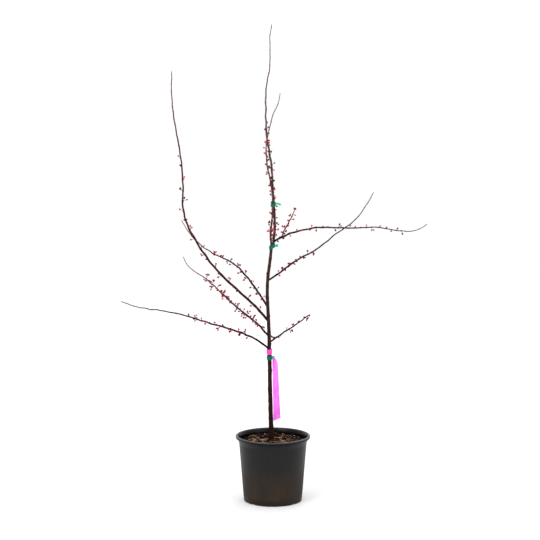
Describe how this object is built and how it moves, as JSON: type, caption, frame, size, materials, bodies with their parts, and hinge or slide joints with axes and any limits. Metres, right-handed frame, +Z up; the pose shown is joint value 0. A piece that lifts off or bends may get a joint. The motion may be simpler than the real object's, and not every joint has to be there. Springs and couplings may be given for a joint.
{
  "type": "potted plum tree",
  "caption": "Bare young plum tree with swelling buds: slim forked trunk, long upswept boughs, marker ribbon and ties, in a round tapered nursery pot of bark mix.",
  "frame": {"origin": "centre of the pot's flat underside, on the ground", "axes": "+Z up along the trunk, +X to the tree's right as seen from its front, the boughs spreading mostly along X, and the front facing -Y"},
  "size_m": [1.0853, 0.5753, 1.7626],
  "materials": {
    "trunk_bark": "dark purple-brown young bark with pale grey streaks and pores",
    "shoot_bark": "smooth dark red-brown bark, greyer towards the tips",
    "buds": "swelling crimson and pink buds with dull scales",
    "pot_plastic": "black moulded plastic, satin, with brown dust towards the foot",
    "bark_mix": "loose brown composted bark chips",
    "perlite": "crumbly white grains",
    "dry_fibre": "dry straw-coloured fibres",
    "tie_tape": "stretchy green tape, wrinkled",
    "marker_ribbon": "thin bright pink vinyl ribbon"
  },
  "bodies": {
    "root": {"trunk": "trunk_bark", "leader": "shoot_bark", "side_leader": "shoot_bark", "bough_right_arching": "shoot_bark", "shoot_on_arching_bough": "shoot_bark", "bough_right_rising": "shoot_bark", "bough_right_short": "shoot_bark", "bough_left_low": "shoot_bark", "bough_left_budded": "shoot_bark", "bough_left_tall_lower": "shoot_bark", "bough_left_tall_upper": "shoot_bark", "bough_left_high": "shoot_bark", "pot": "pot_plastic", "potting_mix": "bark_mix", "tie_upper": "tie_tape", "tie_middle": "tie_tape", "tie_lower": "tie_tape", "ribbon_band": "marker_ribbon", "ribbon_tail": "marker_ribbon"}
  },
  "joints": []
}
